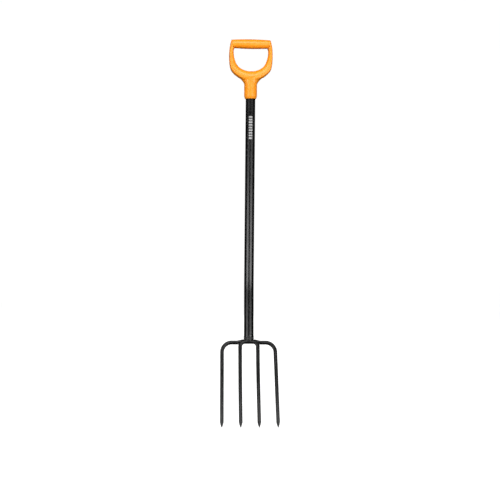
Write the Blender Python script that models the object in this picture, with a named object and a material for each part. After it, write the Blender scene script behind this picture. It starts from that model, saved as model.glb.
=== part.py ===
"""A four-tined digging fork with a D-handle.

Frame: metres, +Z up along the straight upper shaft, +X across the head, and the hollow side of the
tines faces -Y. The origin is the hang point, the middle of the grip's underside.

The fork comes apart into a moulded handle frame, the grip sleeve moulded around its cross bar, the
fixing screw, a steel tube in a plastic sleeve, the ring that closes the sleeve, a forged stem that
plugs the tube's lower end, two bent tine rods, and the weld beads that hold rods and stem together.
"""
import math

import bmesh
import bpy
import numpy as np
from mathutils import Vector

MM = 0.001
GAP = 0.3 * MM                      # clearance between neighbouring pieces

# Overall sizes
OVERALL_LENGTH = 1204.0 * MM
HEAD_WIDTH = 185.0 * MM             # over the outer tines, just above their points

# Grip: a barrel-shaped sleeve around the handle's cross bar
GRIP_THICKNESS = 30.0 * MM          # top to bottom at mid span
GRIP_END_THICKNESS = 26.4 * MM
GRIP_DEPTH = 33.0 * MM              # front to back at mid span
GRIP_END_DEPTH = 30.4 * MM
GRIP_HALF_SPAN = 55.9 * MM          # mean of the end faces' top and bottom edges
GRIP_END_SLOPE = 0.12               # the end faces lean outwards, upwards
GRIP_END_BULGE = 4.2 * MM           # and bulge into the arms at mid height
GRIP_END_GAP = 0.5 * MM
GRIP_EXPONENT = 2.3
GRIP_MID_Z = GRIP_THICKNESS / 2
POCKET_FLOOR_Z = 1.0 * MM           # the arms close up under the sleeve's ends
POCKET_MARGIN = 2.0 * MM            # the pocket for the sleeve is cut this far above it
CORE_HALF_HEIGHT = 8.6 * MM
CORE_HALF_DEPTH = 9.6 * MM
CORE_REACH = 1.04                   # the core bar's length over the sleeve's

# Handle arms, top end to middle of the saddle, in mm: inner x, z, outer x, z, and half depth
ARM_SECTIONS = [
    (50.0, 28.4, 60.3, 28.1, 4.5),
    (47.0, 26.6, 61.7, 26.2, 9.2),
    (46.0, 22.3, 62.9, 22.0, 13.0),
    (46.0, 15.4, 64.4, 15.4, 15.3),
    (48.5, 5.5, 66.5, 5.5, 15.2),
    (53.5, -3.0, 67.4, -3.0, 14.8),
    (54.1, -12.0, 68.0, -12.0, 14.3),
    (53.1, -23.0, 68.3, -23.0, 14.0),
    (50.3, -34.6, 67.9, -37.0, 14.0),
    (45.3, -47.1, 66.5, -52.0, 14.4),
    (38.2, -56.5, 62.3, -67.5, 15.3),
    (29.5, -62.8, 52.0, -80.2, 16.4),
    (20.0, -66.9, 37.4, -91.0, 17.8),
    (10.0, -69.3, 19.0, -100.0, 19.2),
    (0.0, -70.0, 0.0, -104.0, 19.8),
]
ARM_EXPONENT = 2.6
ARM_RIDGE = 0.25                    # how far the front and back ridges sit towards the outside

# Collar below the saddle, in mm: z, half width and half depth
COLLAR_SECTIONS = [
    (-157.1, 16.7, 16.7),
    (-155.7, 17.8, 17.8),
    (-152.9, 18.9, 18.9),
    (-149.4, 19.8, 19.8),
    (-145.4, 20.2, 20.2),
    (-114.5, 20.2, 20.2),
    (-109.5, 20.9, 20.1),
    (-103.5, 24.1, 20.0),
    (-97.5, 29.1, 19.8),
    (-92.5, 33.5, 19.0),
    (-88.0, 33.0, 16.5),
    (-84.0, 28.0, 12.0),
]
SOCKET_TOP_Z = -100.0 * MM
CUT_MARGIN = 5.0 * MM               # how far cutting bodies stand out of what they cut

# Shaft: straight, then bent forwards near the head
SLEEVE_RADIUS = 15.0 * MM
SLEEVE_WALL = 1.05 * MM
TUBE_RADIUS = SLEEVE_RADIUS - SLEEVE_WALL - GAP
TUBE_WALL = 1.4 * MM
TUBE_BORE_RADIUS = TUBE_RADIUS - TUBE_WALL
SHAFT_TOP_Z = SOCKET_TOP_Z - 0.5 * MM
BEND_Z = -740.0 * MM                # where the two straight stretches would meet
BEND_ANGLE = math.radians(5.2)
BEND_RADIUS = 450.0 * MM
SHAFT_END_Z = -903.6 * MM
END_RING_RADIUS = 15.9 * MM
END_RING_HEIGHT = 4.6 * MM
SLEEVE_END_Z = SHAFT_END_Z + END_RING_HEIGHT + GAP

# Screw that fixes the shaft in the collar, from behind
SCREW_Z = -131.0 * MM
SCREW_HEAD_RADIUS = 4.0 * MM
SCREW_SHANK_RADIUS = 1.9 * MM
SCREW_FACE_Y = 20.0 * MM
SCREW_CONE_Y = 17.4 * MM
SCREW_TIP_Y = 8.5 * MM
SCREW_TAPER = 2.0 * MM

# Stem, the forged plug between the shaft and the rods
STEM_PLUG_RADIUS = TUBE_BORE_RADIUS - GAP
STEM_PLUG_LENGTH = 42.0 * MM
STEM_COLLAR_RADIUS = 14.7 * MM
STEM_EDGE = 1.2 * MM
STEM_STEP = 0.01 * MM               # height of the ledge between plug and collar
STEM_FOOT = 4.0 * MM                # the foot ends this far above the crossbar's centreline
NECK_WELD_RADIUS = 16.6 * MM
NECK_WELD_HEIGHT = 3.3 * MM
NECK_WELD_EDGE = 0.8 * MM

# Head: rods laid on a gently curved surface that leans forwards from the crossbar to the tips
CROSSBAR_Z = -918.0 * MM
ROOT_LEAN = math.radians(14.0)
TIP_LEAN = math.radians(22.5)
ROD_RADIUS = 6.3 * MM               # in the crossbar
TINE_ROOT_RADIUS = 6.0 * MM
TINE_END_RADIUS = 5.8 * MM         # just above the point
POINT_LENGTH = 17.0 * MM
POINT_HALF_WIDTH = 0.7 * MM
POINT_FULLNESS = 0.8                # under 1, the points swell on their way to the rod
ROD_OFFSET = ROD_RADIUS + GAP / 2   # outer rod behind the middle surface, inner rod in front of it
ROD_OFFSET_FADE = 110.0 * MM        # distance over which all tines come into line
ROOT_FADE = 0.1                     # share of a tine over which the crossbar's radius fades out
OUTER_ROOT_X = 83.5 * MM
OUTER_CORNER_RADIUS = 30.5 * MM
OUTER_RISE = 3.9 * MM               # the outer rod climbs over the inner one beside the stem
OUTER_RISE_FROM_X = 38.0 * MM
OUTER_RISE_TO_X = 16.0 * MM
OUTER_POINT_X = HEAD_WIDTH / 2 - TINE_END_RADIUS    # where the points begin
INNER_ROOT_X = 27.6 * MM
INNER_CORNER_RADIUS = 15.0 * MM
INNER_POINT_X = 28.6 * MM

# Weld beads on the rods
UNDER_WELD_RADIUS = 1.4 * MM
UNDER_WELD_HALF_LENGTH = 10.5 * MM
UNDER_WELD_DROP = 2.2 * MM
UNDER_WELD_BACK = 1.5 * MM
UNDER_WELD_END_SHARE = 0.55         # its ends' radius over its own
SIDE_WELD_HALF_SIZES = (8.2 * MM, 2.8 * MM, 3.4 * MM)
SIDE_WELD_DROP = 5.5 * MM
SIDE_WELD_BACK = 0.7 * MM
SIDE_WELD_REACH = 0.94              # share of its half length at which the bead is cut off

# Facets
TUBE_SIDES = 24
ROD_SIDES = 16
SECTION_SIDES = 20
SMOOTH_ANGLE = math.radians(35.0)

ORANGE = (0.95, 0.36, 0.03, 1.0)
BLACK_PLASTIC = (0.018, 0.019, 0.021, 1.0)
BLACK_PAINT = (0.028, 0.028, 0.030, 1.0)
BARE_STEEL = (0.42, 0.42, 0.43, 1.0)


# ---------------------------------------------------------------- scene and materials

def clear_scene():
    for item in list(bpy.data.objects):
        bpy.data.objects.remove(item, do_unlink=True)


def material(name, colour, roughness, metallic):
    """A plain Principled material."""
    made = bpy.data.materials.new(name)
    made.use_nodes = True
    shader = made.node_tree.nodes["Principled BSDF"]
    shader.inputs["Base Color"].default_value = colour
    shader.inputs["Roughness"].default_value = roughness
    shader.inputs["Metallic"].default_value = metallic
    return made


# ---------------------------------------------------------------- shared modelling tools

def smooth_step(value):
    """0 to 1 with flat ends, for a value that runs from 0 to 1."""
    value = min(max(value, 0.0), 1.0)
    return value * value * (3.0 - 2.0 * value)


def through(rows, steps):
    """A Catmull-Rom curve through rows of numbers, with this many steps between neighbours."""
    rows = np.array(rows, float)
    padded = np.vstack([2 * rows[0] - rows[1], rows, 2 * rows[-1] - rows[-2]])
    curve = []
    for first in range(len(rows) - 1):
        a, b, c, d = padded[first:first + 4]
        for step in range(steps):
            t = step / steps
            curve.append(0.5 * (2 * b + (c - a) * t + (2 * a - 5 * b + 4 * c - d) * t ** 2
                                + (3 * b - 3 * c + d - a) * t ** 3))
    curve.append(rows[-1])
    return curve


def spread(start, end, count):
    """Evenly spaced numbers from start to end."""
    return [start + (end - start) * index / (count - 1) for index in range(count)]


def superellipse(sides, exponent):
    """Unit points of a superellipse, counter-clockwise."""
    points = []
    for index in range(sides):
        angle = 2 * math.pi * index / sides
        cos, sin = math.cos(angle), math.sin(angle)
        points.append((math.copysign(abs(cos) ** (2 / exponent), cos),
                       math.copysign(abs(sin) ** (2 / exponent), sin)))
    return points


def bridge(bm, rings):
    """Quads between neighbouring rings of vertices."""
    for lower, upper in zip(rings, rings[1:]):
        for index in range(len(lower)):
            following = (index + 1) % len(lower)
            bm.faces.new((lower[index], lower[following], upper[following], upper[index]))


def finish(name, bm, finish_material):
    """Turn a bmesh into a named object whose faces point out and whose round sides are smooth."""
    bmesh.ops.recalc_face_normals(bm, faces=bm.faces)
    mesh = bpy.data.meshes.new(name)
    bm.to_mesh(mesh)
    bm.free()
    mesh.shade_smooth()
    mesh.set_sharp_from_angle(angle=SMOOTH_ANGLE)
    mesh.materials.append(finish_material)
    made = bpy.data.objects.new(name, mesh)
    bpy.context.scene.collection.objects.link(made)
    return made


def loft(name, rings, finish_material):
    """A closed solid through rings of points, with a flat face on each end ring."""
    bm = bmesh.new()
    loops = [[bm.verts.new(point) for point in ring] for ring in rings]
    bridge(bm, loops)
    bm.faces.new(loops[0])
    bm.faces.new(loops[-1])
    return finish(name, bm, finish_material)


def pipe(name, outer_rings, inner_rings, finish_material):
    """A tube open at both ends, between matching outer and inner rings."""
    bm = bmesh.new()
    outer = [[bm.verts.new(point) for point in ring] for ring in outer_rings]
    inner = [[bm.verts.new(point) for point in ring] for ring in inner_rings]
    bridge(bm, outer)
    bridge(bm, inner)
    bridge(bm, [outer[0], inner[0]])
    bridge(bm, [outer[-1], inner[-1]])
    return finish(name, bm, finish_material)


def combine(target, other, operation):
    """Boolean another object into the target, and hide that other object."""
    modifier = target.modifiers.new(other.name, "BOOLEAN")
    modifier.operation = operation
    modifier.object = other
    other.hide_render = True
    other.display_type = "WIRE"


def circle(centre, side, back, radius, sides=TUBE_SIDES):
    """A ring of points around centre, in the plane of two unit directions."""
    ring = []
    for index in range(sides):
        angle = 2 * math.pi * index / sides
        ring.append(centre + radius * (math.cos(angle) * side + math.sin(angle) * back))
    return ring


# ---------------------------------------------------------------- handle

def grip_end(z):
    """Half length of the grip sleeve at a height: its end faces lean and bulge outwards."""
    rise = z - GRIP_MID_Z
    bulge = GRIP_END_BULGE * (1 - (2 * rise / GRIP_END_THICKNESS) ** 2)
    return GRIP_HALF_SPAN + GRIP_END_SLOPE * rise + bulge


def grip_ring(place, half_height, half_depth):
    """A section of the grip or its core. place runs from -1 to 1, from end face to end face."""
    ring = []
    for depth, height in superellipse(SECTION_SIDES, GRIP_EXPONENT):
        z = GRIP_MID_Z + half_height * height
        ring.append(Vector((place * grip_end(z), half_depth * depth, z)))
    return ring


def make_grip_sleeve(orange):
    """The barrel-shaped sleeve, thickest at mid span, bored for the handle's core bar."""
    outer, inner = [], []
    for place in spread(-1.0, 1.0, 11):
        fade = place * place
        half_height = (GRIP_THICKNESS * (1 - fade) + GRIP_END_THICKNESS * fade) / 2
        half_depth = (GRIP_DEPTH * (1 - fade) + GRIP_END_DEPTH * fade) / 2
        outer.append(grip_ring(place, half_height, half_depth))
        inner.append(grip_ring(place, CORE_HALF_HEIGHT + GAP, CORE_HALF_DEPTH + GAP))
    return pipe("grip_sleeve", outer, inner, orange)


def make_grip_pocket(orange):
    """What the handle frame leaves out so that the grip sleeve fits between its arms."""
    heights = spread(POCKET_FLOOR_Z, GRIP_THICKNESS + POCKET_MARGIN, 13)
    outline = [(grip_end(z) + GRIP_END_GAP, z) for z in heights]
    outline += [(-x, z) for x, z in reversed(outline)]
    return loft("grip_pocket", [[Vector((x, y, z)) for x, z in outline]
                                for y in (-GRIP_DEPTH, GRIP_DEPTH)], orange)


def arm_ring(row, side):
    """One section of an arm, between its inner and outer outline points."""
    inner_x, inner_z, outer_x, outer_z, half_depth = (value * MM for value in row)
    inner = Vector((side * inner_x, 0.0, inner_z))
    outer = Vector((side * outer_x, 0.0, outer_z))
    middle, half = (inner + outer) / 2, (outer - inner) / 2
    ring = []
    for across, depth in superellipse(SECTION_SIDES, ARM_EXPONENT):
        across += ARM_RIDGE * (1 - across * across)
        ring.append(middle + half * across + Vector((0.0, half_depth * depth, 0.0)))
    return ring


def make_arms(orange):
    """Both arms and the saddle between them, lofted from one top end to the other."""
    rows = through(ARM_SECTIONS, 2)
    rings = [arm_ring(row, -1) for row in rows[:-1]]
    rings.append(arm_ring(rows[-1], 1))
    rings += [arm_ring(row, 1) for row in reversed(rows[:-1])]
    return loft("arms", rings, orange)


def make_collar(orange):
    """The round collar that takes the shaft, flaring sideways into the saddle."""
    rings = []
    for z, half_width, half_depth in COLLAR_SECTIONS:
        ring = circle(Vector((0, 0, z * MM)), Vector((half_width * MM, 0, 0)),
                      Vector((0, half_depth * MM, 0)), 1.0, 2 * TUBE_SIDES)
        rings.append(ring)
    return loft("collar", rings, orange)


def make_handle_frame(orange):
    """Arms, saddle, collar and core bar as one moulding, bored for the shaft and its screw."""
    frame = make_arms(orange)
    frame.name = "handle_frame"
    frame.data.name = "handle_frame"
    core = loft("core_bar", [grip_ring(place, CORE_HALF_HEIGHT, CORE_HALF_DEPTH)
                             for place in (-CORE_REACH, CORE_REACH)], orange)
    mouth_z = COLLAR_SECTIONS[0][0] * MM
    bore = loft("shaft_socket", [circle(Vector((0, 0, z)), Vector((1, 0, 0)), Vector((0, 1, 0)),
                                        SLEEVE_RADIUS + GAP)
                                 for z in (mouth_z - CUT_MARGIN, SOCKET_TOP_Z)], orange)
    combine(frame, make_grip_pocket(orange), "DIFFERENCE")
    combine(frame, core, "UNION")
    combine(frame, make_collar(orange), "UNION")
    combine(frame, bore, "DIFFERENCE")
    return frame


def screw_rings(extra, outward):
    """Sections of the countersunk screw along -Y; extra widens it and outward lengthens its head."""
    profile = [
        (SCREW_FACE_Y + outward, SCREW_HEAD_RADIUS + extra),
        (SCREW_FACE_Y, SCREW_HEAD_RADIUS + extra),
        (SCREW_CONE_Y - extra, SCREW_SHANK_RADIUS + extra),
        (SCREW_TIP_Y + SCREW_TAPER, SCREW_SHANK_RADIUS + extra),
        (SCREW_TIP_Y - extra, SCREW_SHANK_RADIUS / 3 + extra),
    ]
    if outward == 0.0:
        profile = profile[1:]
    across, up = Vector((1, 0, 0)), Vector((0, 0, 1))
    return [circle(Vector((0, y, SCREW_Z)), across, up, radius, ROD_SIDES) for y, radius in profile]


# ---------------------------------------------------------------- shaft

def shaft_station(z):
    """The shaft's centre and its backward direction at a height on its centreline."""
    tangent_length = BEND_RADIUS * math.tan(BEND_ANGLE / 2)
    arc_top = BEND_Z + tangent_length
    arc_bottom = arc_top - BEND_RADIUS * math.sin(BEND_ANGLE)
    if z >= arc_top:
        lean, y = 0.0, 0.0
    elif z > arc_bottom:
        lean = math.asin((arc_top - z) / BEND_RADIUS)
        y = -BEND_RADIUS * (1 - math.cos(lean))
    else:
        lean = BEND_ANGLE
        y = -BEND_RADIUS * (1 - math.cos(lean)) - (arc_bottom - z) * math.tan(lean)
    return Vector((0, y, z)), Vector((0, math.cos(lean), -math.sin(lean)))


def shaft_rings(heights, radius):
    """Rings square to the shaft at these heights."""
    rings = []
    for z in heights:
        centre, back = shaft_station(z)
        rings.append(circle(centre, Vector((1, 0, 0)), back, radius))
    return rings


def shaft_heights(top, bottom):
    """Heights that describe the shaft between two ends: few on the straights, more in the bend."""
    tangent_length = BEND_RADIUS * math.tan(BEND_ANGLE / 2)
    bend = [BEND_Z + tangent_length * place for place in (1.0, 0.6, 0.2, -0.2, -0.6, -1.0)]
    return [top] + [z for z in bend if bottom < z < top] + [bottom]


def make_shaft_pipe(name, top, bottom, radius, wall, finish_material):
    heights = shaft_heights(top, bottom)
    return pipe(name, shaft_rings(heights, radius), shaft_rings(heights, radius - wall),
                finish_material)


# ---------------------------------------------------------------- head

def head_length():
    """Distance along the curved surface from the crossbar's centreline to the tips."""
    drop = CROSSBAR_Z - (GRIP_THICKNESS - OVERALL_LENGTH)
    return drop * (TIP_LEAN - ROOT_LEAN) / (math.sin(TIP_LEAN) - math.sin(ROOT_LEAN))


def head_point(x, down, back):
    """A point from its place across the head, down its surface, and behind that surface."""
    bend = (TIP_LEAN - ROOT_LEAN) / head_length()
    lean = ROOT_LEAN + bend * down
    root = shaft_station(CROSSBAR_Z)[0]
    y = root.y - (math.cos(ROOT_LEAN) - math.cos(lean)) / bend + back * math.cos(lean)
    z = root.z - (math.sin(lean) - math.sin(ROOT_LEAN)) / bend - back * math.sin(lean)
    return Vector((x, y, z))


def rod_radius(down):
    """Radius of a rod or tine at a distance down the head."""
    along = min(max(down, 0.0) / (head_length() - POINT_LENGTH), 1.0)
    if along < ROOT_FADE:
        return ROD_RADIUS + (TINE_ROOT_RADIUS - ROD_RADIUS) * along / ROOT_FADE
    share = (along - ROOT_FADE) / (1 - ROOT_FADE)
    return TINE_ROOT_RADIUS + (TINE_END_RADIUS - TINE_ROOT_RADIUS) * share


def half_rod(root_x, point_x, corner_radius, offset, rise):
    """Stations of a rod from mid crossbar to one tip: x, distance down, and distance behind."""
    length = head_length()
    flat_end = root_x - corner_radius
    stations = []
    for place in (0.0, 0.25, 0.5, 0.75):
        x = flat_end * place
        climb = (OUTER_RISE_FROM_X - x) / (OUTER_RISE_FROM_X - OUTER_RISE_TO_X)
        stations.append((x, -rise * smooth_step(climb), offset))
    corner_steps = 7
    for step in range(corner_steps + 1):
        angle = math.pi / 2 * step / corner_steps
        x = flat_end + corner_radius * math.sin(angle)
        down = corner_radius * (1 - math.cos(angle))
        stations.append((x, down, offset * (1 - smooth_step(down / ROD_OFFSET_FADE))))
    tine = spread(corner_radius, length - POINT_LENGTH, 9)[1:]
    tine += [length - POINT_LENGTH * left for left in (0.72, 0.45, 0.2, 0.0)]
    for down in tine:
        along = (down - corner_radius) / (length - POINT_LENGTH - corner_radius)
        x = root_x + (point_x - root_x) * along
        stations.append((x, down, offset * (1 - smooth_step(down / ROD_OFFSET_FADE))))
    return stations


def rod_rings(half, extra):
    """Rings along a whole rod, round except for its four-sided points."""
    mirrored = [(-x, down, back) for x, down, back in reversed(half[1:])]
    stations = mirrored + half
    points = [head_point(*station) for station in stations]
    length = head_length()
    rings = []
    for index, (_, down, back) in enumerate(stations):
        before, after = points[max(index - 1, 0)], points[min(index + 1, len(points) - 1)]
        along = (after - before).normalized()
        outward = head_point(0, down, back + 1.0) - head_point(0, down, back)
        side = along.cross(outward).normalized()
        back_way = side.cross(along)
        round_radius = rod_radius(down) + extra
        to_tip = (length - down) / POINT_LENGTH
        swell = max(to_tip, 0.0) ** POINT_FULLNESS
        square = POINT_HALF_WIDTH + extra + (round_radius - POINT_HALF_WIDTH - extra) * swell
        ring = []
        for step in range(ROD_SIDES):
            angle = 2 * math.pi * step / ROD_SIDES
            flat = square / max(abs(math.cos(angle)), abs(math.sin(angle)))
            radius = round_radius if to_tip >= 1 else min(round_radius, flat)
            ring.append(points[index] + radius * (math.cos(angle) * side
                                                  + math.sin(angle) * back_way))
        rings.append(ring)
    return rings


def make_stem(steel, rod_spaces):
    """The plug in the tube, its collar, and the saddle that its foot makes over both rods."""
    top = SHAFT_END_Z + STEM_PLUG_LENGTH
    neck = SHAFT_END_Z - GAP
    foot = CROSSBAR_Z + STEM_FOOT
    profile = [
        (top, STEM_PLUG_RADIUS - STEM_EDGE),
        (top - STEM_EDGE, STEM_PLUG_RADIUS),
        (neck, STEM_PLUG_RADIUS),
        (neck - STEM_STEP, STEM_COLLAR_RADIUS),
        (foot, STEM_COLLAR_RADIUS),
    ]
    rings = [shaft_rings([z], radius)[0] for z, radius in profile]
    stem = loft("head_stem", rings, steel)
    for space in rod_spaces:
        combine(stem, space, "DIFFERENCE")
    return stem


def make_neck_weld(black):
    """The weld bead around the stem's collar, wider at its foot."""
    top = SHAFT_END_Z - 2 * GAP
    bottom = top - NECK_WELD_HEIGHT
    edge = NECK_WELD_EDGE
    outer = [
        (top, NECK_WELD_RADIUS - 1.5 * edge),
        (top - edge, NECK_WELD_RADIUS - edge / 2),
        (bottom + edge, NECK_WELD_RADIUS),
        (bottom, NECK_WELD_RADIUS - edge / 2),
    ]
    outer_rings = [shaft_rings([z], radius)[0] for z, radius in outer]
    inner_rings = shaft_rings([z for z, _ in outer], STEM_COLLAR_RADIUS + GAP)
    return pipe("neck_weld", outer_rings, inner_rings, black)


def make_under_weld(black):
    """The bead in the groove under the two rods, below the stem."""
    rings = []
    for place in spread(-1.0, 1.0, 9):
        radius = UNDER_WELD_RADIUS * (UNDER_WELD_END_SHARE if abs(place) == 1.0 else 1.0)
        x = UNDER_WELD_HALF_LENGTH * place
        centre = head_point(x, UNDER_WELD_DROP, UNDER_WELD_BACK)
        back = (head_point(x, UNDER_WELD_DROP, 1.0) - head_point(x, UNDER_WELD_DROP, 0.0)).normalized()
        rings.append(circle(centre, back, Vector((1, 0, 0)).cross(back), radius, ROD_SIDES))
    return loft("under_weld", rings, black)


def make_side_weld(name, side, black, rod_spaces):
    """The bead where an inner tine leaves the crossbar, hollowed by both rods."""
    half_x, half_down, half_back = SIDE_WELD_HALF_SIZES
    rings = []
    for place in spread(-SIDE_WELD_REACH, SIDE_WELD_REACH, 9):
        size = math.sqrt(1 - place * place)
        centre = (side * INNER_ROOT_X + half_x * place, SIDE_WELD_DROP, SIDE_WELD_BACK)
        ring = []
        for step in range(ROD_SIDES):
            angle = 2 * math.pi * step / ROD_SIDES
            ring.append(head_point(centre[0], centre[1] + half_down * size * math.cos(angle),
                                   centre[2] + half_back * size * math.sin(angle)))
        rings.append(ring)
    weld = loft(name, rings, black)
    for space in rod_spaces:
        combine(weld, space, "DIFFERENCE")
    return weld


# ---------------------------------------------------------------- the whole fork

def build():
    clear_scene()
    orange = material("handle_orange", ORANGE, 0.42, 0.0)
    plastic = material("shaft_plastic", BLACK_PLASTIC, 0.35, 0.0)
    paint = material("head_paint", BLACK_PAINT, 0.45, 0.0)
    steel = material("bare_steel", BARE_STEEL, 0.35, 1.0)

    frame = make_handle_frame(orange)
    make_grip_sleeve(orange)
    sleeve = make_shaft_pipe("shaft_sleeve", SHAFT_TOP_Z, SLEEVE_END_Z, SLEEVE_RADIUS,
                             SLEEVE_WALL, plastic)
    tube = make_shaft_pipe("shaft_tube", SHAFT_TOP_Z, SHAFT_END_Z, TUBE_RADIUS, TUBE_WALL, steel)
    make_shaft_pipe("shaft_end_ring", SLEEVE_END_Z - GAP, SHAFT_END_Z, END_RING_RADIUS,
                    END_RING_RADIUS - TUBE_RADIUS - GAP, plastic)

    loft("handle_screw", screw_rings(0.0, 0.0), steel)
    screw_space = loft("screw_space", screw_rings(GAP, CUT_MARGIN), steel)
    for drilled in (frame, sleeve, tube):
        combine(drilled, screw_space, "DIFFERENCE")

    outer = half_rod(OUTER_ROOT_X, OUTER_POINT_X, OUTER_CORNER_RADIUS, ROD_OFFSET, OUTER_RISE)
    inner = half_rod(INNER_ROOT_X, INNER_POINT_X, INNER_CORNER_RADIUS, -ROD_OFFSET, 0.0)
    rod_spaces = []
    for name, half in (("outer_tine_rod", outer), ("inner_tine_rod", inner)):
        loft(name, rod_rings(half, 0.0), paint)
        rod_spaces.append(loft(name + "_space", rod_rings(half, GAP), paint))

    make_stem(steel, rod_spaces)
    make_neck_weld(paint)
    make_under_weld(paint)
    make_side_weld("left_tine_weld", -1, paint, rod_spaces)
    make_side_weld("right_tine_weld", 1, paint, rod_spaces)


build()
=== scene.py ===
"""Looks of a digging fork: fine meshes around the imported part, materials, studio and camera.

Lengths are in metres, in the part's own frame: +Z up along the upper shaft, +X across the head,
the hollow side of the tines faces -Y, and the origin is the middle of the grip's underside.
"""
import math

import bmesh
import bpy
import numpy as np
from mathutils import Matrix, Vector, noise


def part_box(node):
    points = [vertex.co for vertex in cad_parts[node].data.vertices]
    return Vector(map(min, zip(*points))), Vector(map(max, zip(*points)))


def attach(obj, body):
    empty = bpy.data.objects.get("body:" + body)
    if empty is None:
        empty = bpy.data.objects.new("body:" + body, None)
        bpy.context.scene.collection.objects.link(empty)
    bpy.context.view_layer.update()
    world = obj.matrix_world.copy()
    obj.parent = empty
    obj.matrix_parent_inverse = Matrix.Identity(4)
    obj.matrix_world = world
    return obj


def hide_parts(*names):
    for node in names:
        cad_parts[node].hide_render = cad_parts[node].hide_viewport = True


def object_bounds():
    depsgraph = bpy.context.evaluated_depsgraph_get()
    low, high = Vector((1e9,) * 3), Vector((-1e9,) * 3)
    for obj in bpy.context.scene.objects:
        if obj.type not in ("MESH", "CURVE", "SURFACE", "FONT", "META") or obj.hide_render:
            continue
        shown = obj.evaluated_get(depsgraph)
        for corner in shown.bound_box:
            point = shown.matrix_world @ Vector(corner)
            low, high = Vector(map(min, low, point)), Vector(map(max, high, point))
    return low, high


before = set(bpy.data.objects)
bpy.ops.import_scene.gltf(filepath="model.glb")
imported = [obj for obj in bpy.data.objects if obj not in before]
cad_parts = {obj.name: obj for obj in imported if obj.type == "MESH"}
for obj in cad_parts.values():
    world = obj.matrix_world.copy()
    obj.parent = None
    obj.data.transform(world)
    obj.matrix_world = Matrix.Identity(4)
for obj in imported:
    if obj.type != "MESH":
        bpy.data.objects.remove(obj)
CAD_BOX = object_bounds()

MM = 0.001
GAP = 0.3 * MM                      # clearance between neighbouring pieces
BODY = "root"                       # nothing on the fork moves, so it has one body
OVERALL_LENGTH = 1204.0 * MM

# Grip sleeve and core bar
GRIP_THICKNESS = 30.0 * MM
GRIP_END_THICKNESS = 26.4 * MM
GRIP_DEPTH = 33.0 * MM
GRIP_END_DEPTH = 30.4 * MM
GRIP_HALF_SPAN = 55.9 * MM
GRIP_END_SLOPE = 0.12
GRIP_END_BULGE = 4.2 * MM
GRIP_END_GAP = 0.3 * MM
GRIP_EXPONENT = 2.3
GRIP_EDGE = 0.9 * MM                # rounding of the sleeve's end edges
GRIP_BARREL_SHARE = 0.97            # share of the half span before that rounding
GRIP_STEPS = 49
EDGE_STEPS = 6
GRIP_MID_Z = GRIP_THICKNESS / 2
POCKET_FLOOR_Z = 1.0 * MM           # the arms close up under the sleeve's ends
POCKET_MARGIN = 2.0 * MM            # the pocket is cut this far above the sleeve
POCKET_STEPS = 33
CORE_HALF_HEIGHT = 8.6 * MM
CORE_HALF_DEPTH = 9.6 * MM
CORE_REACH = 1.04                   # the core bar's length over the sleeve's

# Handle arms, top end to middle of the saddle, in mm: inner x, z, outer x, z, and half depth
ARM_SECTIONS = [
    (50.0, 28.4, 60.3, 28.1, 4.5),
    (47.0, 26.6, 61.7, 26.2, 9.2),
    (46.0, 22.3, 62.9, 22.0, 13.0),
    (46.0, 15.4, 64.4, 15.4, 15.3),
    (48.5, 5.5, 66.5, 5.5, 15.2),
    (53.5, -3.0, 67.4, -3.0, 14.8),
    (54.1, -12.0, 68.0, -12.0, 14.3),
    (53.1, -23.0, 68.3, -23.0, 14.0),
    (50.3, -34.6, 67.9, -37.0, 14.0),
    (45.3, -47.1, 66.5, -52.0, 14.4),
    (38.2, -56.5, 62.3, -67.5, 15.3),
    (29.5, -62.8, 52.0, -80.2, 16.4),
    (20.0, -66.9, 37.4, -91.0, 17.8),
    (10.0, -69.3, 19.0, -100.0, 19.2),
    (0.0, -70.0, 0.0, -104.0, 19.8),
]
ARM_EXPONENT = 2.6
ARM_RIDGE = 0.25                    # how far the front and back ridges sit towards the outside

# Collar below the saddle, in mm: z, half width and half depth
COLLAR_SECTIONS = [
    (-157.1, 16.7, 16.7),
    (-155.7, 17.8, 17.8),
    (-152.9, 18.9, 18.9),
    (-149.4, 19.8, 19.8),
    (-145.4, 20.2, 20.2),
    (-114.5, 20.2, 20.2),
    (-109.5, 20.9, 20.1),
    (-103.5, 24.1, 20.0),
    (-97.5, 29.1, 19.8),
    (-92.5, 33.5, 19.0),
    (-88.0, 33.0, 16.5),
    (-84.0, 28.0, 12.0),
]
SOCKET_TOP_Z = -100.0 * MM
HANDLE_VOXEL = 0.85 * MM
FILLET_Z = -101.0 * MM              # where the collar runs into the saddle
FILLET_REACH = 21.0 * MM
FILLET_REPEATS = 60
FILLET_FULL = 1.4                   # over 1, the middle of the fillet is smoothed fully
FILLET_SKIN = 1.5 * MM              # kept as it is around the shaft's socket
CUT_MARGIN = 5.0 * MM               # how far cutting bodies stand out of what they cut

# Shaft
SLEEVE_RADIUS = (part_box("shaft_sleeve")[1].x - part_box("shaft_sleeve")[0].x) / 2
SLEEVE_WALL = 1.05 * MM
TUBE_RADIUS = SLEEVE_RADIUS - SLEEVE_WALL - GAP
TUBE_WALL = 1.4 * MM
SHAFT_TOP_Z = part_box("shaft_sleeve")[1].z
BEND_Z = -740.0 * MM
BEND_ANGLE = math.radians(5.2)
BEND_RADIUS = 450.0 * MM
SHAFT_END_Z = -903.6 * MM
END_RING_RADIUS = (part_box("shaft_end_ring")[1].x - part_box("shaft_end_ring")[0].x) / 2
END_RING_HEIGHT = 4.6 * MM
END_RING_EDGE = 0.8 * MM
SLEEVE_END_Z = SHAFT_END_Z + END_RING_HEIGHT + GAP
SMALL_EDGE = 0.25 * MM
STRAIGHT_STEP = 20 * MM
BEND_STEP = 3 * MM

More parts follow.
